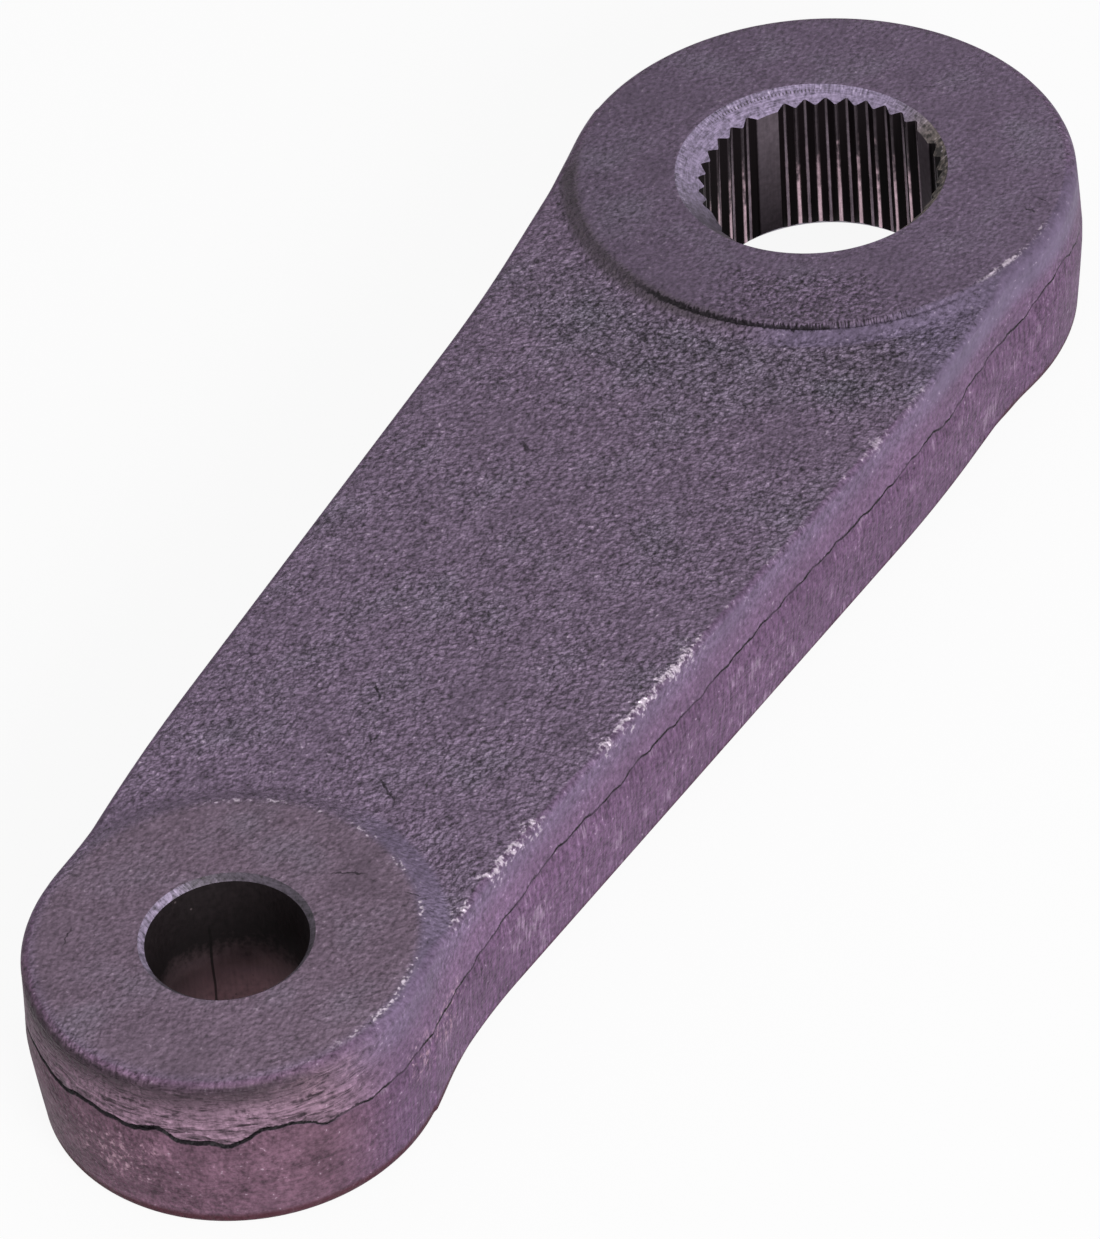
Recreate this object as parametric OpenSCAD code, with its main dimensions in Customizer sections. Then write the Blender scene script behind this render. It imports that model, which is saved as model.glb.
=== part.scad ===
// Forged steering pitman arm, one piece of steel, in millimetres.
// The origin is on the axis of the serrated bore, on the bottom machined face.
// +X runs to the stud hole, +Z to the nut side, +Y to the side with the steeper taper.

/* [Overall] */
// Distance between the axis of the serrated bore and the axis of the stud hole
centres = 152.4; // [146:0.1:160]
// Thickness over the machined boss faces
thickness = 22.8; // [20:0.1:26]
// Height of the bosses' parting line above the bottom faces
parting_z = 12; // [11:0.1:13]
// Draft angle of the bosses, in degrees
boss_draft = 4; // [3:0.5:4]
// Draft angle of the web, in degrees
web_draft = 5; // [5:0.5:7]

/* [Big end] */
// Outside diameter of the big boss at the parting plane
big_dia = 67.7; // [67:0.1:69]
// Edge radius of the big boss
big_edge = 2; // [1.4:0.1:2.6]

/* [Small end] */
// Outside diameter of the small boss at the parting plane
small_dia = 48.6; // [48:0.1:50]
// Edge radius of the small boss
small_edge = 1.4; // [1.1:0.1:2]

/* [Web] */
// Depth of the web's top surface below the boss faces
web_drop = 1; // [0.6:0.1:1.6]
// Height of the web's bottom surface above the boss faces
web_rise = 1; // [0.6:0.1:1.6]
// Height of the web's parting line above the bottom faces
web_parting = 11.7; // [10.5:0.1:11.8]
// Edge radius of the web
web_edge = 1.6; // [0.8:0.1:2.2]
// Distance from the bore axis to the bend of the +Y side
near_bend_x = 32; // [28:1:38]
// Half width of the +Y side at the big end
near_root_w = 32.7; // [32.4:0.1:32.9]
// Half width of the +Y side at its bend
near_bend_w = 32.4; // [31.5:0.1:32.6]
// Half width of the +Y side at the neck
near_neck_w = 23.4; // [22.8:0.1:23.8]
// Distance from the bore axis to the bend of the -Y side
far_bend_x = 40; // [34:1:46]
// Half width of the -Y side at the big end
far_root_w = 32.7; // [32.4:0.1:32.9]
// Half width of the -Y side at its bend
far_bend_w = 29.2; // [28.6:0.1:29.8]
// Half width of the -Y side at the neck
far_neck_w = 26.4; // [25.5:0.1:27]
// Half width of the -Y side where it runs into the small boss
far_end_w = 24.4; // [24:0.1:25]
// Radius of the blend between the +Y side and the small boss
neck_blend = 90; // [40:5:100]

/* [Serrated bore] */
// Number of serration positions round the bore
positions = 36; // [24:12:36]
// Number of blank positions, where a wide tooth takes the place of a groove
blanks = 4; // [2:2:4]
// Angle from +X to the first blank position, in degrees
blank_angle = 53.5; // [0:0.5:90]
// Diameter over the lands, measured at the top face
land_dia = 30; // [28:0.1:31]
// Taper of the bore, one on this much of its length, measured on the diameter
bore_taper = 16; // [12:1:24]
// Depth of a groove
groove_depth = 0.78; // [0.5:0.02:0.9]
// Width of a groove at the lands
groove_mouth = 1.96; // [1.6:0.02:2]
// Width of a groove at its root
groove_root = 0.52; // [0.3:0.02:0.8]
// Diameter of the countersink at the top face
sink_dia = 35.3; // [34.6:0.1:36.5]
// Included angle of the countersink, in degrees
sink_angle = 122; // [110:2:130]
// Offset of the countersink from the bore axis, in X
sink_x = 0.5; // [-0.8:0.1:0.8]
// Offset of the countersink from the bore axis, in Y
sink_y = -1; // [-1.2:0.1:1.2]
// Diameter of the chamfer at the bottom face
shaft_chamfer_dia = 34; // [33.6:0.1:36]

/* [Stud hole] */
// Diameter of the stud hole just under its top chamfer
stud_dia = 18.9; // [17:0.1:20]
// Taper of the stud hole, one on this much of its length, measured on the diameter
stud_taper = 8; // [6:0.5:16]
// Top chamfer of the stud hole
stud_chamfer = 0.7; // [0.4:0.1:1.2]

/* [Hidden] */
$fn = 96;
eps = 0.5;
boss_steps = 5;
web_steps = 4;
neck_flats = 4;
blank_every = positions / blanks;
bore_lean = 0.5 / bore_taper;
land_r_top = land_dia / 2;
land_r_bottom = land_r_top + thickness * bore_lean;
stud_lean = 0.5 / stud_taper;
stud_r = stud_dia / 2;
neck_x = centres - 24;
web_top = thickness - web_drop;

// Points of a rounded, drafted edge from the top surface down to the bottom one,
// as [distance outside the parting line, height].
function arc_points(centre, r, from, to, steps) = [
    for (i = [0:steps])
        let (a = from + (to - from) * i / steps)
            centre + r * [cos(a), sin(a)]
];
function inset(rise, r, lean) = -(r + rise * sin(lean)) / cos(lean);
function side_points(bottom, parting, top, r, lean, steps) = concat(
    arc_points([inset(top - r - parting, r, lean), top - r], r, 90, lean, steps),
    [[0, parting]],
    arc_points([inset(parting - bottom - r, r, lean), bottom + r], r, -lean, -90, steps)
);
function boss_side(r) = side_points(0, parting_z, thickness, r, boss_draft, boss_steps);
function web_side() = side_points(web_rise, web_parting, web_top, web_edge, web_draft, web_steps);
// The same points with the first and last flat run on past the web's surfaces, to be cut there.
function run_on(points) = let (n = len(points) - 1) concat(
    [2 * points[0] - points[1]],
    [for (i = [1:n - 1]) points[i]],
    [2 * points[n] - points[n - 1]]
);

// A boss: the edge section turned round the boss axis.
module boss(dia, edge) {
    points = [for (p = boss_side(edge)) [dia / 2 + p[0], p[1]]];
    rotate_extrude()
        polygon(concat([[0, thickness]], points, [[0, 0]]));
}

// A long slab that ends at one drafted side: the edge section drawn along the line
// through two plan points. side is 1 for the +Y side and -1 for the -Y side.
module slab(from, to, side) {
    along = atan2(to[1] - from[1], to[0] - from[0]);
    section = run_on(web_side());
    points = [for (p = section) [side * p[0], p[1]]];
    high = section[0][1];
    low = section[len(section) - 1][1];
    translate([from[0], from[1], 0])
        rotate([0, 0, along])
            translate([-80, 0, 0])
                rotate([90, 0, 90])
                    linear_extrude(height = 320)
                        polygon(concat([[-side * 110, high]], points, [[-side * 110, low]]));
}

// The two long sides of the web, wider on the -Y side than on the +Y side.
module web_sides() {
    intersection() {
        union() {
            slab([8, -far_root_w], [far_bend_x, -far_bend_w], -1);
            intersection() {
                slab([far_bend_x, -far_bend_w], [neck_x, -far_neck_w], -1);
                slab([neck_x, -far_neck_w], [centres - 5, -far_end_w], -1);
            }
        }
        slab([5, near_root_w], [near_bend_x, near_bend_w], 1);
        slab([near_bend_x, near_bend_w], [neck_x, near_neck_w], 1);
    }
}

// The hollow blend between the +Y side of the web and the small boss: flats that touch
// an arc which is tangent to both.
module neck() {
    lean = atan2(near_bend_w - near_neck_w, neck_x - near_bend_x);
    reach = small_dia / 2 + neck_blend;
    base = near_neck_w - (centres - neck_x) * tan(lean);
    rise = base * cos(lean) + neck_blend;
    back = sqrt(reach * reach - rise * rise);
    middle = [
        centres - back * cos(lean) + rise * sin(lean),
        back * sin(lean) + rise * cos(lean)
    ];
    turn = atan2(back, rise);
    last = middle[0] + neck_blend * sin(turn - lean) + 1.5;
    intersection() {
        union()
            for (i = [1:neck_flats]) {
                a = turn * i / (neck_flats + 1) - lean;
                foot = middle + neck_blend * [sin(a), -cos(a)];
                slab(foot, foot + [cos(a), sin(a)], 1);
            }
        translate([neck_x - 20, -10, -eps])
            cube([last - neck_x + 20, 60, thickness + 2 * eps]);
    }
}

// The flat arm between the bosses, cut to its thickness in one go.
module web() {
    intersection() {
        union() {
            web_sides();
            neck();
        }
        translate([0, -60, web_rise])
            cube([centres, 120, web_top - web_rise]);
    }
}

// One groove: a trapezoid bar that leans with the bore's taper.
module groove() {
    over = 0.2;
    flank = (groove_mouth - groove_root) / 2 / groove_depth;
    mouth = groove_mouth / 2 + over * flank;
    translate([land_r_bottom, 0, 0])
        rotate([0, -atan(bore_lean), 0])
            translate([0, 0, -2])
                linear_extrude(height = thickness + 4)
                    polygon([
                        [-over, -mouth],
                        [groove_depth, -groove_root / 2],
                        [groove_depth, groove_root / 2],
                        [-over, mouth]
                    ]);
}

// The serrated bore, wider at the bottom, with its countersink and bottom chamfer.
module serrated_bore() {
    sink_lean = tan(sink_angle / 2);
    sink_deep = 2.6;
    low = land_r_bottom + 2 * bore_lean;
    high = land_r_top - 2 * bore_lean;
    translate([0, 0, -2])
        cylinder(r1 = low, r2 = high, h = thickness + 4);
    for (i = [0:positions - 1])
        if (i % blank_every != 0)
            rotate([0, 0, blank_angle + i * 360 / positions])
                groove();
    translate([sink_x, sink_y, thickness - sink_deep])
        cylinder(
            r1 = sink_dia / 2 - sink_deep * sink_lean,
            r2 = sink_dia / 2 + eps * sink_lean,
            h = sink_deep + eps
        );
    translate([0, 0, -eps])
        cylinder(r1 = shaft_chamfer_dia / 2 + eps, r2 = shaft_chamfer_dia / 2 - 2, h = 2 + eps);
}

// The tapered stud hole, wider at the top, chamfered at both ends.
module stud_hole() {
    top = thickness - stud_chamfer;
    bottom_r = stud_r - top * stud_lean;
    translate([0, 0, -1])
        cylinder(
            r1 = bottom_r - stud_lean,
            r2 = stud_r + (1 + stud_chamfer) * stud_lean,
            h = thickness + 2
        );
    translate([0, 0, top - 1])
        cylinder(r1 = stud_r - 1, r2 = stud_r + stud_chamfer + eps, h = 1 + stud_chamfer + eps);
    translate([0, 0, -eps])
        cylinder(r1 = bottom_r + 0.5 + eps, r2 = bottom_r - 0.5, h = 1 + eps);
}

module pitman_arm() {
    color([0.36, 0.33, 0.37])
        difference() {
            union() {
                boss(big_dia, big_edge);
                web();
                translate([centres, 0, 0])
                    boss(small_dia, small_edge);
            }
            serrated_bore();
            translate([centres, 0, 0])
                stud_hole();
        }
}

pitman_arm();
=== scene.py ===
"""Forged pitman arm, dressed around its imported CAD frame.

The frame is in metres: the origin is on the axis of the serrated bore at the bottom face, +X runs
to the stud hole and +Z to the nut side. Sizes in the classes below are in millimetres.
"""

import logging
import math
from dataclasses import dataclass, field
from enum import Enum
from typing import Any, Callable, Optional, Sequence, Union

import bmesh
import bpy
import numpy as np
from mathutils import Matrix, Vector
from mathutils.geometry import delaunay_2d_cdt


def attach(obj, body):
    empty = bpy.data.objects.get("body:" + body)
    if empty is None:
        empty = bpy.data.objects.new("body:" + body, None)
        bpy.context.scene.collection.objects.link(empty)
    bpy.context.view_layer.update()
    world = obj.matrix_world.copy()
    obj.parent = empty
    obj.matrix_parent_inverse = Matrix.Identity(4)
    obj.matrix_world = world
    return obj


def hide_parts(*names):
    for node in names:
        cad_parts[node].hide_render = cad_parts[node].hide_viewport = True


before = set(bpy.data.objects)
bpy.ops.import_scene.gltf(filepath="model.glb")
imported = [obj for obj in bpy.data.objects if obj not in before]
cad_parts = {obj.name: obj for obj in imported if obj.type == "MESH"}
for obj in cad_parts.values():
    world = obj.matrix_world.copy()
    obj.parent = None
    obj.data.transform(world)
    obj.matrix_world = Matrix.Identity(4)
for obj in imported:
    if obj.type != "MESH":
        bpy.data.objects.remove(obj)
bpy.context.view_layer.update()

log = logging.getLogger("pitman_arm")
MM = 0.001
CENTRES = 152.4  # between the axes of the serrated bore and the stud hole
THICKNESS = 22.8  # over the boss faces
WHITE = (1.0, 1.0, 1.0, 1.0)

Colour = tuple[float, float, float]
Point = tuple[float, float]
Span = tuple[float, float, float]  # middle, half width and soft border of a band
Arc = tuple[Span, Span]  # distance and angle of a stretch of ring about an axis
Wave = tuple[float, float, float]  # height, length and start of a ripple
Socket = Union[str, int]  # a node's socket, by name or number


class Finish(Enum):
    """The finishes of the forging, in the order of its material slots."""

    SKIN = 0
    COUNTERSINK = 1
    SERRATION = 2
    STUD_WALL = 3


class Side(Enum):
    """The two broad surfaces of the arm."""

    TOP = 1
    BOTTOM = -1


# Node building


def operator(name: str, swapped: bool = False) -> Callable[..., "Signal"]:
    """A method that puts a signal and its other values through one Math node.

    Args:
        name: The node's operation.
        swapped: Whether the signal comes last, as in a number less the signal.

    Returns:
        The method.
    """

    def method(self: "Signal", *others: "Level") -> "Signal":
        """The node's result."""
        return self.bench.math(name, *((*others, self) if swapped else (self, *others)))

    return method


class Signal:
    """A node's output socket that takes part in Python maths."""

    def __init__(self, bench: "NodeBench", socket: Optional[bpy.types.NodeSocket]) -> None:
        """Keeps the bench that adds nodes and the socket that is read."""
        self.bench = bench
        self.socket = socket

    __add__ = __radd__ = operator("ADD")
    __sub__, __rsub__ = operator("SUBTRACT"), operator("SUBTRACT", swapped=True)
    __mul__ = __rmul__ = operator("MULTIPLY")
    __truediv__, __rtruediv__ = operator("DIVIDE"), operator("DIVIDE", swapped=True)
    __mod__ = operator("FLOORED_MODULO")
    __gt__, __lt__ = operator("GREATER_THAN"), operator("LESS_THAN")
    __abs__, floor = operator("ABSOLUTE"), operator("FLOOR")
    at_most, at_least = operator("MINIMUM"), operator("MAXIMUM")

    def other(self, out: Socket) -> "Signal":
        """Another output of the same node."""
        return Signal(self.bench, self.socket.node.outputs[out])

    def ease(self, start: float, end: float) -> "Signal":
        """A soft rise from 0 at start to 1 at end, or a fall where start is the larger.

        Args:
            start: The value that gives 0.
            end: The value that gives 1.

        Returns:
            The eased signal.
        """
        low, high = min(start, end), max(start, end)
        rise = self.bench.add(
            "ShaderNodeMapRange",
            {"interpolation_type": "SMOOTHSTEP"},
            {"Value": self, "From Min": low, "From Max": high},
        )
        return rise if start < end else 1.0 - rise

    def band(self, middle: float, half: float, soft: float) -> "Signal":
        """One within half of the middle, easing to zero over soft."""
        return abs(self - middle).ease(half + soft, half)


Level = Union[Signal, float, int]


class NodeBench:
    """Adds nodes to a tree, from plain settings and socket values."""

    def __init__(self, tree: bpy.types.NodeTree) -> None:
        """Keeps the tree and empties it."""
        self.tree = tree
        tree.nodes.clear()

    def add(
        self,
        kind: str,
        settings: Optional[dict[str, Any]] = None,
        sockets: Optional[dict[Socket, Any]] = None,
        out: Socket = 0,
    ) -> Signal:
        """Adds one node.

        Args:
            kind: The node's type name.
            settings: Its properties, which are set first.
            sockets: Values or signals for its inputs.
            out: The output that is wanted.

        Returns:
            The signal of that output.
        """
        node = self.tree.nodes.new(kind)
        for name, value in (settings or {}).items():
            setattr(node, name, value)
        for key, value in (sockets or {}).items():
            socket = node.inputs[key]
            if isinstance(value, Signal):
                self.tree.links.new(value.socket, socket)
            else:
                socket.default_value = value
        return Signal(self, node.outputs[out] if len(node.outputs) else None)

    def math(self, operation: str, *values: Level) -> Signal:
        """A Math node of one operation on signals or numbers."""
        return self.add("ShaderNodeMath", {"operation": operation}, dict(enumerate(values)))

    def join(self, *parts: Level) -> Signal:
        """A vector from its three parts."""
        return self.add("ShaderNodeCombineXYZ", None, dict(enumerate(parts)))


@dataclass(frozen=True)
class Polar:
    """Distance in millimetres and angle in degrees, from -180 to 180, about an upright axis."""

    reach: Signal
    angle: Signal

    def arc(self, ring: Span, turn: Span, ragged: Level = 0.0) -> Signal:
        """A soft stretch of a ring, with something ragged added to the distance."""
        return (self.reach + ragged).band(*ring) * self.angle.band(*turn)


class SurfaceBench(NodeBench):
    """A material's node tree, read in millimetres of the part's own frame."""

    def __init__(self, name: str) -> None:
        """Makes the material and its coordinates.

        Args:
            name: The material's name.
        """
        self.material = bpy.data.materials.new(name)
        self.material.use_nodes = True
        super().__init__(self.material.node_tree)
        self.place = self.vector("SCALE", self.add("ShaderNodeTexCoord", out="Object"), 1 / MM)
        self.x, self.y, self.z = self.split(self.place)

    def vector(self, operation: str, first: Signal, second: Any) -> Signal:
        """A Vector Math node of one operation, where the second value of a scale is a number."""
        key = "Scale" if operation == "SCALE" else 1
        return self.add("ShaderNodeVectorMath", {"operation": operation}, {0: first, key: second})

    def split(self, vector: Signal) -> tuple[Signal, ...]:
        """The three parts of a vector."""
        first = self.add("ShaderNodeSeparateXYZ", None, {0: vector})
        return tuple(first.other(part) for part in range(3))

    def reading(self, name: str) -> Signal:
        """A per-point reading that is stored on the mesh."""
        return self.add("ShaderNodeAttribute", {"attribute_name": name}, out="Fac")

    def stretch(self, scale: Sequence[float], shift: Sequence[float] = (0, 0, 0)) -> Signal:
        """The place with each axis scaled and then shifted, for drawn-out marks."""
        return self.vector("ADD", self.vector("MULTIPLY", self.place, scale), shift)

    def noise(
        self,
        size: float,
        detail: float = 2.0,
        rough: float = 0.5,
        where: Optional[Signal] = None,
        warp: float = 0.0,
    ) -> Signal:
        """Cloudy noise about zero, mostly within one half.

        Args:
            size: Rough size of a cloud, in millimetres.
            detail: Number of finer layers.
            rough: Strength of the finer layers.
            where: Vector to read, the place if none is given.
            warp: Distortion.

        Returns:
            The noise.
        """
        sockets = {"Vector": where or self.place, "Scale": 1 / size, "Detail": detail}
        sockets |= {"Roughness": rough, "Distortion": warp}
        return self.add("ShaderNodeTexNoise", None, sockets) - 0.5

    def dots(self, pitch: float, radius: float, share: float) -> Signal:
        """Scattered soft dots.

        Args:
            pitch: Size of the cell that may hold a dot, in millimetres.
            radius: Radius of a dot, in cells.
            share: Share of the cells that hold one.

        Returns:
            The dots' mask.
        """
        sockets = {"Vector": self.place, "Scale": 1 / pitch}
        off = self.add("ShaderNodeTexVoronoi", {"feature": "F1"}, sockets, out="Distance")
        pick = self.split(off.other("Color"))[0]
        return off.ease(radius, radius * 0.45) * (pick < share)

    def blend(self, factor: Level, first: Any, second: Any) -> Signal:
        """A colour between two colours."""
        sockets = {0: factor, 6: self.full(first), 7: self.full(second)}
        return self.add(
            "ShaderNodeMix", {"data_type": "RGBA", "clamp_factor": True}, sockets, out=2
        )

    @staticmethod
    def full(colour: Any) -> Any:
        """A colour with its fourth part, or the signal as it is."""
        return colour if isinstance(colour, Signal) else (*colour, 1.0)

    def coats(self, colour: Any, *coats: tuple[Level, Colour]) -> Signal:
        """A colour under coats that are laid over it in order.

        Args:
            colour: The ground.
            coats: The mask and the colour of each coat.

        Returns:
            The coated colour.
        """
        for mask, tint in coats:
            colour = self.blend(mask, colour, tint)
        return colour

    def shade(self, colour: Signal, factor: Level) -> Signal:
        """A colour made lighter or darker."""
        return self.vector("SCALE", colour, factor)

    def polar(self, x: float, y: float = 0.0) -> Polar:
        """Distance and angle about an upright axis.

        Args:
            x: Place of the axis.
            y: Place of the axis.

        Returns:
            The two readings.
        """
        across, up = self.x - x, self.y - y
        reach = self.math("SQRT", across * across + up * up)
        return Polar(reach, self.math("ARCTAN2", up, across) * (180 / math.pi))

    def bump(self, height: Signal, distance: float) -> Signal:
        """A bumped normal, from a height in units of a distance in millimetres."""
        return self.add("ShaderNodeBump", None, {"Height": height, "Distance": distance * MM})

    def close(
        self, colour: Signal, rough: Level, metal: Level, normal: Signal, specular: float
    ) -> bpy.types.Material:
        """Ends the tree in one shader.

        Args:
            colour: Base colour.
            rough: Roughness.
            metal: Metallic share.
            normal: Bumped normal.
            specular: Specular level, the same all over.

        Returns:
            The finished material.
        """
        sockets = {"Base Color": colour, "Roughness": rough, "Metallic": metal, "Normal": normal}
        sockets["Specular IOR Level"] = specular
        surface = self.add("ShaderNodeBsdfPrincipled", None, sockets)
        self.add("ShaderNodeOutputMaterial", None, {"Surface": surface})
        return self.material


# Finishes


class SkinBench(SurfaceBench):
    """The forged skin's tree, with the noises, readings and regions that its marks share."""

    def __init__(self, name: str) -> None:
        """Adds what the marks share.

        Args:
            name: The material's name.
        """
        super().__init__(name)
        self.grit = self.noise(0.62, 1.0, 0.5)
        self.chip = self.noise(0.66, 2.0, 0.6, self.stretch((1.0, 1.0, 1.0), (40.0, 17.0, 9.0)))
        self.blot = self.noise(3.6, 2.0)
        self.cloud = self.noise(11.0, 1.0, 0.5)
        self.upright = self.noise(0.42, 1.0, 0.6, self.stretch((1.0, 1.0, 0.14)))
        self.level = self.noise(0.8, 1.0, 0.6, self.stretch((0.22, 0.22, 1.0)), 1.6)
        self.side, self.flash = self.reading("side"), self.reading("flash")
        self.edge, self.heavy = self.reading("edge"), self.reading("heavy")
        self.flat = 1.0 - self.side
        self.top = self.z.ease(12.0, 16.0)
        self.top_flat = self.flat * self.top
        self.nose = self.x.ease(CENTRES + 2.0, CENTRES + 15.0)
        self.below = self.flash.ease(0.1, -0.5) * self.side
        self.above = self.side - self.below
        self.low_side = self.below * (1.0 - self.nose)
        self.big, self.small = self.polar(0.0), self.polar(CENTRES)


@dataclass(frozen=True)
class FacedBoss:
    """What sets the boss faces off from the skin round them: finer grain, stains, chipped rims and
    painted highlights on the big rim.
    """

    big_colour: Colour = (0.128, 0.092, 0.143)
    small_colour: Colour = (0.155, 0.109, 0.152)
    dark: Colour = (0.036, 0.030, 0.034)
    big_r: float = 31.3
    small_r: float = 22.0
    patch: Arc = ((27.0, 3.0, 3.0), (22.0, 14.0, 16.0))
    glinting_rim: Arc = ((31.6, 0.12, 0.35), (79.0, 9.0, 7.0))
    chipped_rim: Span = (22.3, 0.12, 0.35)
    chipped_near: Span = (118.0, 40.0, 22.0)
    chipped_far: Span = (-160.0, 18.0, 14.0)

    def masks(self, b: SkinBench) -> tuple[Signal, Signal]:
        """Soft masks of the big and of the small face."""
        big = b.big.reach.ease(self.big_r + 0.5, self.big_r - 0.3)
        return big * b.flat, b.small.reach.ease(self.small_r + 1.2, self.small_r - 1.0) * b.flat

    def stains(self, b: SkinBench) -> Signal:
        """Dark speckled stains, heaviest in the rough patch before the step.

        Args:
            b: Bench of the skin.

        Returns:
            The mask of the stains.
        """
        patch = b.big.arc(*self.patch)
        ragged = 1.1 * b.grit + 0.3 * b.chip + 0.4 * b.blot
        return (ragged + 0.1 * patch).ease(0.1, 0.34) * (0.35 + 0.3 * patch)

    def rim_flecks_and_glints(self, b: SkinBench) -> Signal:
        """Bright flecks along the big face's edge on the side of the lamp: wear and painted
        highlight.
        """
        edge = b.big.arc(*self.glinting_rim, 0.9 * b.chip + 0.6 * b.blot)
        return edge * (b.chip + 0.8 * b.blot).ease(-0.06, 0.14) * 0.75

    def rim_chips(self, b: SkinBench) -> Signal:
        """Bright dots along the small face's edge, on the side of the web.

        Args:
            b: Bench of the skin.

        Returns:
            The mask of the dots.
        """
        edge = (b.small.reach + 1.2 * b.blot + 1.2 * b.chip).band(*self.chipped_rim)
        near, far = (b.small.angle.band(*span) for span in (self.chipped_near, self.chipped_far))
        chips = (1.2 * b.chip + 0.8 * b.blot + 0.8 * b.cloud).ease(0.05, 0.2)
        return edge * near.at_least(far * 0.7) * chips * 0.9


@dataclass(frozen=True)
class Crack:
    """One short crack in the skin: its middle, direction, half length and half width."""

    x: float
    y: float
    turn: float
    long: float
    wide: float

    def mask(self, b: SkinBench) -> Signal:
        """The crack's mask.

        Args:
            b: Bench of the skin.

        Returns:
            One within the crack.
        """
        across, up = b.x - self.x, b.y - self.y
        c, d = math.cos(math.radians(self.turn)), math.sin(math.radians(self.turn))
        along = across * c + up * d
        off = up * c - across * d + 2.5 * b.blot + 0.8 * b.chip
        slim = off.band(0.0, self.wide * 0.4, self.wide * 0.8)
        broken = (0.85 + 2.0 * b.chip).at_most(0.9)
        return slim * along.band(0.0, self.long * 0.6, self.long) * broken


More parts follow.
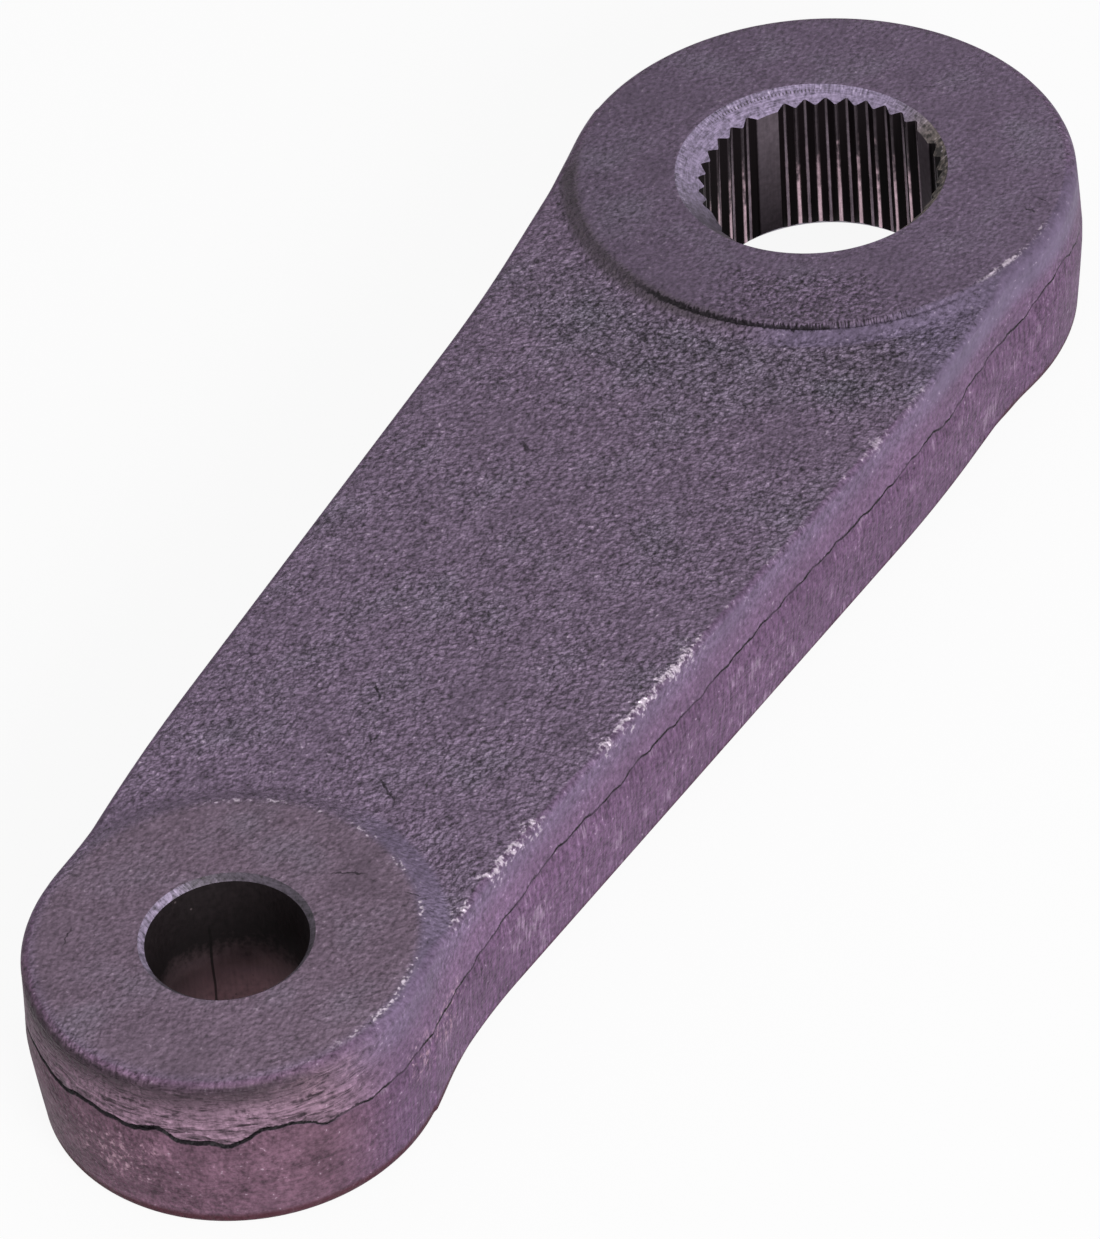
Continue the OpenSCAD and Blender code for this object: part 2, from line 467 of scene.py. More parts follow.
@dataclass(frozen=True)
class ForgedSkin:
    """Blasted forging skin, with faced bosses, worn edges, painted highlights and shade, and the
    flash line dark with dirt and painted shade.
    """

    name: str = "forged_skin"
    web: Colour = (0.161, 0.116, 0.176)
    cool: Colour = (0.116, 0.102, 0.134)
    # Lilac of the painted highlights on edges and shoulders that face the lamp
    highlight_lilac: Colour = (0.134, 0.104, 0.168)
    side_up: Colour = (0.129, 0.077, 0.138)
    side_low: Colour = (0.111, 0.061, 0.117)
    nose_up: Colour = (0.168, 0.104, 0.144)
    nose_low: Colour = (0.114, 0.060, 0.089)
    bare: Colour = (0.60, 0.51, 0.60)
    pink: Colour = (0.42, 0.27, 0.33)
    # Dark colour for cracks and for the flash and step lines, where it is dirt and painted shade
    dirt_and_shade: Colour = (0.008, 0.006, 0.008)
    moss_shade: Colour = (0.034, 0.031, 0.024)
    soot_shade: Colour = (0.024, 0.017, 0.021)
    rust: Colour = (0.045, 0.010, 0.015)
    relief_mm: float = 0.5
    specular: float = 0.12
    faced: FacedBoss = FacedBoss()
    # Painted shade on the web before the big step, where the grain is also coarser
    shaded_web: Arc = ((40.5, 3.5, 5.0), (14.0, 34.0, 25.0))
    # Painted highlight on the boss shoulders that face the lamp
    big_shoulder_highlight: Arc = ((33.6, 1.0, 0.9), (50.0, 28.0, 16.0))
    small_shoulder_highlight: Arc = ((23.7, 1.1, 1.2), (122.0, 34.0, 26.0))
    lit_rim: Span = (78.0, 28.0, 14.0)
    shaded_nose: Span = (70.0, 16.0, 14.0)
    knocks: tuple[Span, ...] = ((97.0, 9.0, 7.0), (125.5, 5.0, 3.0), (137.0, 1.5, 2.5))
    light_knock: Span = (58.0, 20.0, 12.0)
    rubbed: tuple[tuple[Span, Span, float], ...] = (
        ((-6.0, 8.0, 12.0), (-6.0, 2.0, 3.0), 1.0),
        ((100.0, 10.0, 12.0), (-1.5, 1.5, 2.5), 0.8),
        ((52.0, 10.0, 10.0), (5.0, 1.5, 1.5), 0.35),
    )
    # Crease of the big step, darkened with dirt and painted shade, faintest on the side away from
    # the lamp
    packed_crease: Arc = ((32.2, 0.14, 0.36), (6.0, 15.0, 16.0))
    hatched_crease: Arc = ((32.1, 0.25, 0.6), (32.0, 12.0, 10.0))
    faint_crease: Arc = ((32.1, 0.1, 0.5), (-34.0, 28.0, 20.0))
    mossy_shaded_step: Arc = ((32.5, 0.5, 1.3), (-34.0, 30.0, 20.0))
    sooty_shaded_rim: Span = (2.0, 36.0, 30.0)
    cracks: tuple[Crack, ...] = (
        Crack(63.0, -9.5, 60.0, 1.0, 0.22),
        Crack(109.0, -4.5, 32.0, 1.3, 0.2),
        Crack(116.5, -1.5, 35.0, 0.8, 0.16),
        Crack(123.5, 4.7, 46.0, 2.2, 0.15),
        Crack(138.1, 7.7, 104.0, 1.8, 0.13),
        Crack(137.8, 16.2, 93.0, 0.8, 0.13),
        Crack(160.0, -16.5, 10.0, 1.3, 0.12),
        Crack(-21.4, 6.2, 133.0, 1.4, 0.08),
        Crack(-4.6, 28.9, 80.0, 0.8, 0.1),
        Crack(-2.4, 28.6, 80.0, 0.7, 0.1),
    )

    def make(self) -> bpy.types.Material:
        """Builds the material.

        Returns:
            The material.
        """
        b = SkinBench(self.name)
        on_big, on_small = self.faced.masks(b)
        smooth = on_big.at_least(on_small)
        patch = b.big.arc(*self.faced.patch) * on_big
        # Painted shade on the web before the big step
        dark = b.big.arc(*self.shaded_web) * b.top_flat
        # Painted highlight on the shoulders and on the big boss's lit rim
        small_shoulder_highlight = b.small.arc(*self.small_shoulder_highlight) * 0.9
        shoulder_highlight = b.big.arc(*self.big_shoulder_highlight).at_least(small_shoulder_highlight) * b.top_flat
        rim = b.big.reach.ease(31.3, 31.8) * b.big.angle.band(*self.lit_rim) * b.z.ease(17.0, 20.0)
        shoulder_highlight = shoulder_highlight.at_least(rim * 0.9)

        colour = b.coats(
            self.web,
            (b.side.ease(0.03, 0.28), self.side_up),
            (on_big, self.faced.big_colour),
            (on_small, self.faced.small_colour),
            (b.below, self.side_low),
            (b.above * b.nose, self.nose_up),
            (b.below * b.nose, self.nose_low),
        )
        colour = b.shade(colour, 1.0 - 0.12 * b.side * b.small.angle.band(*self.shaded_nose))
        # Cool tint: random clouds, plus the painted shade on the web before the big step
        cool = (b.cloud + 0.35 * b.blot).ease(-0.05, 0.3) * b.flat * 0.45 + dark * 0.4
        # Painted highlight in lilac on the upper side near the top edge and on the shoulders
        colour = b.coats(
            colour,
            (b.above * (1.0 - b.nose) * b.z.ease(16.5, 20.5) * 0.5, self.highlight_lilac),
            (cool, self.cool),
            (shoulder_highlight * 0.8, self.highlight_lilac),
        )
        even = 0.65 * on_big + 0.75 * on_small + 0.7 * b.side + 0.2 * b.edge * b.flat
        amount = 1.4 - even - 0.8 * shoulder_highlight + 0.9 * dark + 1.1 * patch
        amount = (amount * (1.0 + 1.6 * b.cloud)).at_least(0.15)
        tone = 1.05 + b.chip * (1.9 * amount + 0.5) + b.blot * 0.6 + b.cloud * 0.5
        tone += b.low_side * b.upright * 1.5 + b.above * b.nose * b.level * 3.2
        tone += b.below * b.nose * 0.9 * (b.blot + b.level)
        tone += patch * (0.14 + 1.5 * b.chip + 1.2 * b.grit)
        tone += on_big * (0.02 + 0.0032 * b.y - 0.002 * b.x)
        tone += on_small * (0.77 * (b.x - CENTRES) + 0.64 * b.y).ease(0.0, 20.0) * 0.1
        tone += (b.flat - smooth) * (b.x - 85.0) * 0.0012 + 0.1 * dark
        colour = b.shade(colour, tone.at_least(0.2))

        specks = b.chip + 0.3 * b.grit
        flecks = specks.ease(0.18, 0.28) * (0.42 - 0.2 * smooth - 0.12 * b.side)
        # Dark pits in the grain: dirt and painted cavity shade
        pit_dirt_and_shade = specks.ease(-0.17, -0.25) * (1.0 - 0.6 * smooth) * b.flat * 0.7
        streaks = (1.4 * b.upright + 1.8 * b.blot + b.cloud).ease(0.26, 0.6) * b.low_side * 0.15
        # Worn flecks, with flecks of painted highlight on the big rim's lit side
        wear_and_glints = self.worn_edge(b).at_least(self.faced.rim_chips(b) * b.top_flat)
        wear_and_glints = wear_and_glints.at_least(self.faced.rim_flecks_and_glints(b) * b.top)
        # Flash line and step crease darkened with dirt and painted shade
        lines = (self.flash_dirt_and_shade(b) * b.side).at_least(self.step_dirt_and_shade(b) * b.top_flat)
        colour = b.coats(
            colour,
            # stains, and grain pits darkened with dirt and painted shade
            ((self.faced.stains(b) * on_big).at_least(pit_dirt_and_shade), self.faced.dark),
            ((flecks + streaks).at_most(0.8), self.bare),
            (self.nose_flecks(b) * b.side, self.pink),
            # olive grime and painted shade on the big step's unlit left
            (self.olive_grime_and_shade(b) * b.top_flat, self.moss_shade),
            # soot and painted shade under the small end's rim
            (self.rim_soot_and_shade(b) * b.top, self.soot_shade),
            (b.z.ease(2.3, 1.4) * b.side.ease(0.05, 0.3) * 0.85, self.rust),
            (wear_and_glints, self.bare),
            *((crack.mask(b) * b.top_flat, self.dirt_and_shade) for crack in self.cracks),
            (lines, self.dirt_and_shade),
        )
        rough = 0.56 + 0.3 * b.grit - 0.15 * wear_and_glints
        relief = b.grit * amount + b.low_side * b.upright * 0.35 + b.above * b.nose * b.level * 1.4
        normal = b.bump(relief, self.relief_mm)
        return b.close(colour, rough, 0.6 * wear_and_glints, normal, self.specular)

    def worn_edge(self, b: SkinBench) -> Signal:
        """Bright flecks where the upper edges were knocked.

        Args:
            b: Bench of the skin.

        Returns:
            The mask of the flecks.
        """
        knocks = sum(b.x.band(*span) for span in self.knocks)
        knocks = (knocks + b.x.band(*self.light_knock) * 0.45).at_most(1.0) * (b.y > 8.0)
        chips = b.chip + 0.9 * b.blot
        near = (chips + 0.3 * knocks + 0.35 * b.edge - 0.35).ease(0.17, 0.4) * knocks * 0.85
        rest = (chips + 0.3 * b.edge - 0.3).ease(0.28, 0.38) * 0.55
        return near.at_least(rest) * b.edge.ease(0.0, 0.4) * (0.3 + 0.7 * b.top)

    def nose_flecks(self, b: SkinBench) -> Signal:
        """Pinkish rubbed flecks low on the round of the small end.

        Args:
            b: Bench of the skin.

        Returns:
            The mask of the flecks.
        """
        places = sum(
            b.small.angle.band(*turn) * b.flash.band(*height) * share
            for turn, height, share in self.rubbed
        )
        return (b.chip + 0.6 * b.blot).ease(0.02, 0.24) * places.at_most(1.0) * 0.65

    @staticmethod
    def flash_dirt_and_shade(b: SkinBench) -> Signal:
        """The dark line of the trimmed flash, dirt and painted shade in its groove, heavy round the
        small end and broken elsewhere.
        """
        line = (abs(b.flash + 0.5 * b.chip) - 0.2 * b.heavy).ease(0.3, 0.1)
        return line * (0.6 + 0.4 * (b.blot + 0.6 * b.heavy).ease(-0.12, 0.06))

    def step_dirt_and_shade(self, b: SkinBench) -> Signal:
        """Dirt and painted shade packed in the crease of the big boss's step.

        Args:
            b: Bench of the skin.

        Returns:
            The mask of the dirt.
        """
        ticks = b.noise(1.0, 2.0, 0.5, b.join(b.big.angle * 1.7, b.big.reach * 0.5, 0.0))
        ragged = 0.9 * b.chip + 1.1 * ticks
        packed = b.big.arc(*self.packed_crease, ragged)
        hatched = b.big.arc(*self.hatched_crease, ragged) * ticks.ease(-0.04, 0.1) * 0.8
        faint = b.big.arc(*self.faint_crease, ragged) * 0.25
        return (packed + hatched + faint).at_most(0.95)

    def olive_grime_and_shade(self, b: SkinBench) -> Signal:
        """Soft olive grime and painted shade along the left of the big step, where it faces away
        from the lamp.
        """
        return (b.big.arc(*self.mossy_shaded_step, b.chip) * (0.55 + 1.4 * b.chip)).at_most(0.9)

    def rim_soot_and_shade(self, b: SkinBench) -> Signal:
        """Dark soot and painted shade under the rim of the small end's face.

        Args:
            b: Bench of the skin.

        Returns:
            The mask of the soot.
        """
        under = (b.z + 3.0 * b.chip + 6.0 * b.level).ease(18.4, 21.8)
        under = under * b.small.reach.ease(22.9, 23.4) * b.small.angle.band(*self.sooty_shaded_rim)
        return under * (0.8 + 1.2 * b.blot).at_most(0.85)


@dataclass(frozen=True)
class TurnedCone:
    """Cut metal of the countersink and the chamfers, with painted light on one side and painted
    shade and grime on the other.
    """

    name: str = "turned_cone"
    colour: Colour = (0.225, 0.180, 0.275)
    stud_colour: Colour = (0.235, 0.190, 0.275)
    glint: Colour = (0.62, 0.54, 0.66)
    grime: Colour = (0.190, 0.155, 0.142)
    # Dark colour for dirt spots and chatter marks, and for the painted shade on the unlit sides of
    # the countersink and the stud chamfer
    dirt_and_shade: Colour = (0.02, 0.016, 0.015)
    centre: Point = (0.5, -1.0)
    lit_turn: float = -130.0
    stud_lit: Span = (-74.0, 30.0, 26.0)
    chatter_pitch: float = 1.7
    chatter_ring: Span = (16.8, 0.1, 0.16)
    relief_mm: float = 0.09
    specular: float = 0.4

    def make(self) -> bpy.types.Material:
        """Builds the material.

        Returns:
            The material.
        """
        b = SurfaceBench(self.name)
        sink, stud = b.polar(*self.centre), b.polar(CENTRES)
        at_stud = b.x > 60.0
        at_sink = 1.0 - at_stud
        lines = b.noise(1.0, 3.0, 0.6, b.join(sink.reach * 5.0, sink.angle * 0.12, b.z * 0.5))
        ticks = b.noise(1.0, 1.0, 0.5, b.join(sink.angle * 0.9, 0.0, 0.0))
        grain = b.noise(0.6, 3.0, 0.6)
        old = (b.y + 0.35 * b.x + 5.0 * b.noise(6.0, 2.0)).ease(-4.0, 10.0) * at_sink
        rim = sink.reach.ease(16.2, 17.3) * at_sink
        # Painted light and shade round the countersink: bright where it faces the lamp, dark away
        # from it
        facing = b.math("COSINE", (sink.angle - self.lit_turn) * (math.pi / 180))
        lit = 0.35 + 0.65 * facing.ease(-0.2, 0.45)
        # Painted light and shade round the stud chamfer
        bright = 0.25 + 0.75 * stud.angle.band(*self.stud_lit)
        chamfer = b.blend(bright, self.dirt_and_shade, self.stud_colour)
        colour = b.blend(at_stud, b.blend(lit, self.dirt_and_shade, self.colour), chamfer)
        tone = 1.0 + 1.8 * lines + 2.8 * grain + 2.2 * ticks * rim
        colour = b.shade(b.blend(old, colour, self.grime), tone.at_least(0.2))
        spots = (b.noise(0.8, 3.0) + 0.3 * old + 0.1 * at_stud).ease(0.16, 0.42)
        glint = (grain + 0.6 * ticks).ease(0.13, 0.26) * rim
        chatter = b.math("COSINE", sink.angle * (2 * math.pi / self.chatter_pitch)).ease(0.0, 0.7)
        chatter = chatter * (sink.reach + 0.5 * grain).band(*self.chatter_ring)
        chatter = chatter * facing.ease(0.8, 0.95) * at_sink
        colour = b.coats(
            colour, (spots, self.dirt_and_shade), (glint * 0.7, self.glint), (chatter * 0.75, self.dirt_and_shade)
        )
        rough = 0.46 + 0.25 * old + 0.3 * grain
        normal = b.bump(lines * 0.7 + grain * 0.6, self.relief_mm)
        return b.close(colour, rough, 0.35 - 0.3 * old, normal, self.specular)


@dataclass(frozen=True)
class SerrationMetal:
    """Broached serration: lands with a painted reflection, bright low and dark high, grooves in
    near black painted shade with grey roots, plain blanks.
    """

    name: str = "serration_metal"
    # Bright colour of the painted reflection of the floor on the lower lands, and the dark one high
    # up
    land_reflection: Colour = (0.54, 0.38, 0.44)
    dark_reflection: Colour = (0.055, 0.043, 0.051)
    root: Colour = (0.20, 0.155, 0.19)
    # Near black painted shade on the groove flanks
    flank: Colour = (0.006, 0.004, 0.005)
    blank: Colour = (0.092, 0.073, 0.088)
    relief_mm: float = 0.03
    specular: float = 0.05

    def make(self) -> bpy.types.Material:
        """Builds the material.

        Returns:
            The material.
        """
        b = SurfaceBench(self.name)
        groove, blank, height = b.reading("groove"), b.reading("blank"), b.reading("wall")
        drawn = b.noise(0.35, 3.0, 0.6, b.stretch((1.0, 1.0, 0.06)))
        grain = b.noise(0.7, 3.0)
        flank = groove.ease(0.02, 0.2) * groove.ease(0.99, 0.9)
        root = groove.ease(0.93, 0.995) * height.ease(1.3, 0.2)
        # Painted reflection: lands bright low and dark high
        painted_reflection = (height + 0.9 * b.noise(1.6, 3.0) + 1.0 * drawn).ease(0.66, 0.28)
        colour = b.coats(self.dark_reflection, (painted_reflection, self.land_reflection), (root, self.root), (blank, self.blank))
        colour = b.shade(colour, (1.0 + (2.4 - 1.8 * blank) * drawn + 0.9 * grain).at_least(0.1))
        colour = b.blend(flank, colour, self.flank)
        rough = 0.26 + 0.3 * blank + 0.3 * flank + 0.2 * drawn
        metal = (0.9 - 0.9 * flank - 0.85 * blank - 0.3 * root).at_least(0.0)
        return b.close(colour, rough, metal, b.bump(drawn, self.relief_mm), self.specular)


@dataclass(frozen=True)
class StudWall:
    """Reamed wall of the stud hole, near black painted shade at the top and painted light towards
    the bottom, with a drawn scratch.
    """

    name: str = "stud_wall"
    # Painted shade at the top of the wall and painted light at the bottom
    high: Colour = (0.011, 0.008, 0.009)
    low: Colour = (0.68, 0.45, 0.50)
    light: Colour = (0.11, 0.085, 0.09)
    mark: Colour = (0.004, 0.003, 0.003)
    scratch_turn: Span = (-126.0, 0.7, 0.7)
    relief_mm: float = 0.04
    specular: float = 0.1

    def make(self) -> bpy.types.Material:
        """Builds the material.

        Returns:
            The material.
        """
        b = SurfaceBench(self.name)
        turn = b.polar(CENTRES).angle
        drawn = b.noise(0.5, 3.0, 0.6, b.stretch((1.0, 1.0, 0.12)))
        grain = b.noise(0.7, 3.0)
        scratch = (turn + 3.0 * b.noise(6.0, 1.0) + 0.39 * b.z).band(*self.scratch_turn)
        scratch = scratch * (b.z + 6.0 * grain).ease(16.5, 14.5)
        # Painted shade and light: near black high up, lighter towards the bottom
        deep = (b.z + 6.0 * b.noise(8.0) + 5.0 * grain).ease(14.6, 3.4)
        colour = b.shade(b.blend(deep, self.high, self.low), 1.0 + 0.6 * drawn + 1.4 * grain)
        dots = b.dots(1.6, 0.12, 0.25) * 0.6
        colour = b.coats(colour, (dots, self.light), (scratch * 0.85, self.mark))
        normal = b.bump(drawn + grain * 0.5, self.relief_mm)
        return b.close(colour, 0.55 + 0.3 * grain, 0.0, normal, self.specular)


# Shapes


def show(name: str, data: Any) -> bpy.types.Object:
    """Puts a mesh, a lamp or a camera into the scene as an object.

    Args:
        name: The object's name.
        data: What it shows.

    Returns:
        The object, at the origin.
    """
    thing = bpy.data.objects.new(name, data)
    bpy.context.scene.collection.objects.link(thing)
    return thing


def ease(value: np.ndarray, start: float, end: float) -> np.ndarray:
    """A soft rise from 0 at start to 1 at end."""
    share = np.clip((value - start) / (end - start), 0.0, 1.0)
    return share * share * (3.0 - 2.0 * share)


def window(value: np.ndarray, rise: Point, fall: Point) -> np.ndarray:
    """One between a soft rise and a soft fall."""
    return ease(value, *rise) * (1.0 - ease(value, *fall))


def hump(value: np.ndarray, middle: float, half: float) -> np.ndarray:
    """A bell-shaped hump of height one."""
    return np.exp(-(((value - middle) / half) ** 2))


def soft_min(first: np.ndarray, second: np.ndarray, reach: float) -> np.ndarray:
    """The smaller of two, rounded off where they are within reach of each other."""
    near = np.maximum(reach - np.abs(first - second), 0.0) / reach
    return np.minimum(first, second) - near * near * reach / 4.0


def traced(value: np.ndarray, points: Sequence[Point]) -> np.ndarray:
    """Values read off a line through points."""
    return np.interp(value, *np.array(points, float).T)


def ripple(run: np.ndarray, waves: Sequence[Wave]) -> np.ndarray:
    """A sum of sine waves along a run."""
    return sum(high * np.sin(run / long + start) for high, long, start in waves)


def unit(vectors: np.ndarray) -> np.ndarray:
    """Plan vectors brought to length one."""
    return vectors / np.hypot(*vectors.T)[:, None]


def circle(turn: Union[int, np.ndarray]) -> np.ndarray:
    """Points of a circle of radius one, at given angles or at a number of even steps."""
    turn = np.linspace(0, 2 * math.pi, turn, endpoint=False) if isinstance(turn, int) else turn
    return np.column_stack([np.cos(turn), np.sin(turn)])


def run_round(ring: np.ndarray) -> np.ndarray:
    """Distance run along a closed ring up to each of its points."""
    return np.cumsum(np.hypot(*np.diff(np.vstack([ring[-1:], ring]), axis=0).T))


def strip(rows: int, columns: int) -> list[tuple[int, int, int, int]]:
    """Faces of a closed band of points that is stored row by row, turned to face outwards.

    Args:
        rows: Number of rows, from the top down.
        columns: Number of columns, counter-clockwise.

    Returns:
        The faces, by point number.
    """
    faces = []
    for high in range(0, (rows - 1) * columns, columns):
        low = high + columns
        for i in range(columns):
            k = (i + 1) % columns
            faces.append((low + i, low + k, high + k, high + i))
    return faces


@dataclass
class MeshPile:
    """Points, faces and per-point readings that are gathered before one mesh is made."""

    points: list[np.ndarray] = field(default_factory=list)
    faces: list[tuple[int, ...]] = field(default_factory=list)
    finishes: list[int] = field(default_factory=list)
    readings: dict[str, list[np.ndarray]] = field(
        default_factory=lambda: {name: [] for name in MeshPile.NAMES}
    )
    count: int = 0

    NAMES = ("side", "flash", "heavy", "edge", "groove", "blank", "wall")
    AWAY = {"flash": 60.0}

    def add(
        self,
        points: np.ndarray,
        faces: Sequence[Sequence[int]],
        finish: Finish,
        **readings: np.ndarray,
    ) -> None:
        """Adds one patch.

        Args:
            points: Its points, in millimetres.
            faces: Its faces, by point number.
            finish: The finish of its faces.
            readings: Values for its points, by name.
        """
        self.points.append(np.asarray(points, float))
        self.faces.extend(tuple(int(i) + self.count for i in face) for face in faces)
        self.finishes.extend([finish.value] * len(faces))
        for name in self.NAMES:
            values = readings.get(name, np.full(len(points), self.AWAY.get(name, 0.0)))
            self.readings[name].append(np.ravel(values).astype(float))
        self.count += len(points)

    def band(self, grid: np.ndarray, finish: Finish, **readings: np.ndarray) -> None:
        """Adds a closed band of points that are given by row and column."""
        self.add(grid.reshape(-1, 3), strip(*grid.shape[:2]), finish, **readings)

    def mesh(self, name: str, weld: float) -> bpy.types.Mesh:
        """Welds the patches into one closed mesh.

        Args:
            name: The mesh's name.
            weld: Distance within which points become one, in millimetres.

        Returns:
            The mesh, in metres.
        """
        mesh = bpy.data.meshes.new(name)
        mesh.from_pydata((np.vstack(self.points) * MM).tolist(), [], self.faces)
        mesh.polygons.foreach_set("material_index", self.finishes)
        for key, parts in self.readings.items():
            layer = mesh.attributes.new(key, "FLOAT", "POINT")
            layer.data.foreach_set("value", np.concatenate(parts).astype(np.float32))
        shell = bmesh.new()
        shell.from_mesh(mesh)
        bmesh.ops.remove_doubles(shell, verts=shell.verts, dist=weld * MM)
        bmesh.ops.dissolve_degenerate(shell, edges=shell.edges, dist=weld * MM)
        bmesh.ops.triangulate(shell, faces=[f for f in shell.faces if len(f.verts) > 4])
        gaps = sum(1 for edge in shell.edges if len(edge.link_faces) != 2)
        volume = shell.calc_volume(signed=True) / MM**3
        log.info("%s: %d faces, %d open edges, %.0f mm3", name, len(shell.faces), gaps, volume)
        shell.to_mesh(mesh)
        shell.free()
        return mesh


@dataclass(frozen=True)
class ArmPlan:
    """Plan of the arm at its parting line."""

    big_r: float = 33.80
    small_r: float = 24.28
    near: tuple[Point, ...] = ((5.0, 32.7), (32.0, 32.4), (128.4, 23.4))
    far: tuple[Point, ...] = ((8.0, 32.7), (40.0, 29.2), (128.4, 26.4), (147.4, 24.4))
    neck_blend: float = 90.0
    bend_soft: float = 0.8
    corner_soft: float = 0.8
    big_turn: tuple[float, float, int] = (82.0, 278.0, 700)
    small_turn: tuple[float, float, int] = (-100.0, 100.0, 500)
    run_ends: Point = (0.2, 4.4)
    run_steps: int = 900
    farthest: float = 60.0
    halvings: int = 50
    columns: int = 780

    @staticmethod
    def beyond(start: Point, end: Point, x: np.ndarray, y: np.ndarray) -> np.ndarray:
        """Distance on the +Y side of a line through two points."""
        along = unit(np.array([end]) - np.array([start]))[0]
        return (y - start[1]) * along[0] - (x - start[0]) * along[1]

    def neck(self, x: np.ndarray, y: np.ndarray) -> np.ndarray:
        """Distance outside the hollow blend between the +Y side and the small boss.

        Args:
            x: Plan points.
            y: Plan points.

        Returns:
            The distance, large away from the blend.
        """
        (bend_x, bend_w), (neck_x, neck_w) = self.near[1:]
        lean = math.atan2(bend_w - neck_w, neck_x - bend_x)
        base = neck_w - (CENTRES - neck_x) * math.tan(lean)
        rise = base * math.cos(lean) + self.neck_blend
        back = math.sqrt((self.small_r + self.neck_blend) ** 2 - rise**2)
        mid_x = CENTRES - back * math.cos(lean) + rise * math.sin(lean)
        mid_y = back * math.sin(lean) + rise * math.cos(lean)
        turn = np.arctan2(x - mid_x, mid_y - y)
        within = (turn > -lean) & (turn < math.atan2(back, rise) - lean) & (y > 0)
        return np.where(within, self.neck_blend - np.hypot(x - mid_x, y - mid_y), self.farthest)

    def outside(self, x: np.ndarray, y: np.ndarray) -> np.ndarray:
        """Distance outside the parting line, negative within it.

        Args:
            x: Plan points.
            y: Plan points.

        Returns:
            The distance.
        """
        near = [self.beyond(*ends, x, y) for ends in zip(self.near, self.near[1:])]
        far = [self.beyond(*ends, x, -y) for ends in zip(self.far, self.far[1:])]
        near_side = -soft_min(-near[0], -near[1], self.bend_soft)
        far_end = -soft_min(-far[1], -far[2], self.bend_soft)
        far_side = soft_min(far[0], far_end, self.bend_soft)
        web = np.maximum.reduce([near_side, far_side, -x, x - CENTRES])
        web = np.minimum(web, self.neck(x, y))
        big, small = np.hypot(x, y) - self.big_r, np.hypot(x - CENTRES, y) - self.small_r
        return soft_min(np.minimum(big, small), web, self.corner_soft)

    def outline(self) -> np.ndarray:
        """Evenly spaced points of the parting line, counter-clockwise.

        Returns:
            The points, one row each.
        """
        big = np.radians(np.linspace(*self.big_turn))
        small = np.radians(np.linspace(*self.small_turn))
        start, end = self.big_r * math.cos(big[0]) + self.run_ends[0], CENTRES - self.run_ends[1]
        run = np.linspace(start, end, self.run_steps)
        nil, one = np.zeros_like(run), np.ones_like(run)
        origins = np.vstack([
            np.zeros((len(big), 2)),
            np.column_stack([run, nil]),
            np.tile([CENTRES, 0.0], (len(small), 1)),
            np.column_stack([run[::-1], nil]),
        ])
        aims = np.vstack([
            circle(big), np.column_stack([nil, -one]), circle(small), np.column_stack([nil, one])
        ])
        low, high = np.zeros(len(aims)), np.full(len(aims), self.farthest)
        for _ in range(self.halvings):
            middle = (low + high) / 2
            inner = self.outside(*(origins + aims * middle[:, None]).T) < 0
            low, high = np.where(inner, middle, low), np.where(inner, high, middle)
        ring = origins + aims * low[:, None]
        ring = np.vstack([ring, ring[:1]])
        length = np.concatenate([[0.0], np.cumsum(np.hypot(*np.diff(ring, axis=0).T))])
        stations = np.linspace(0.0, length[-1], self.columns, endpoint=False)
        return np.column_stack([np.interp(stations, length, ring[:, k]) for k in (0, 1)])


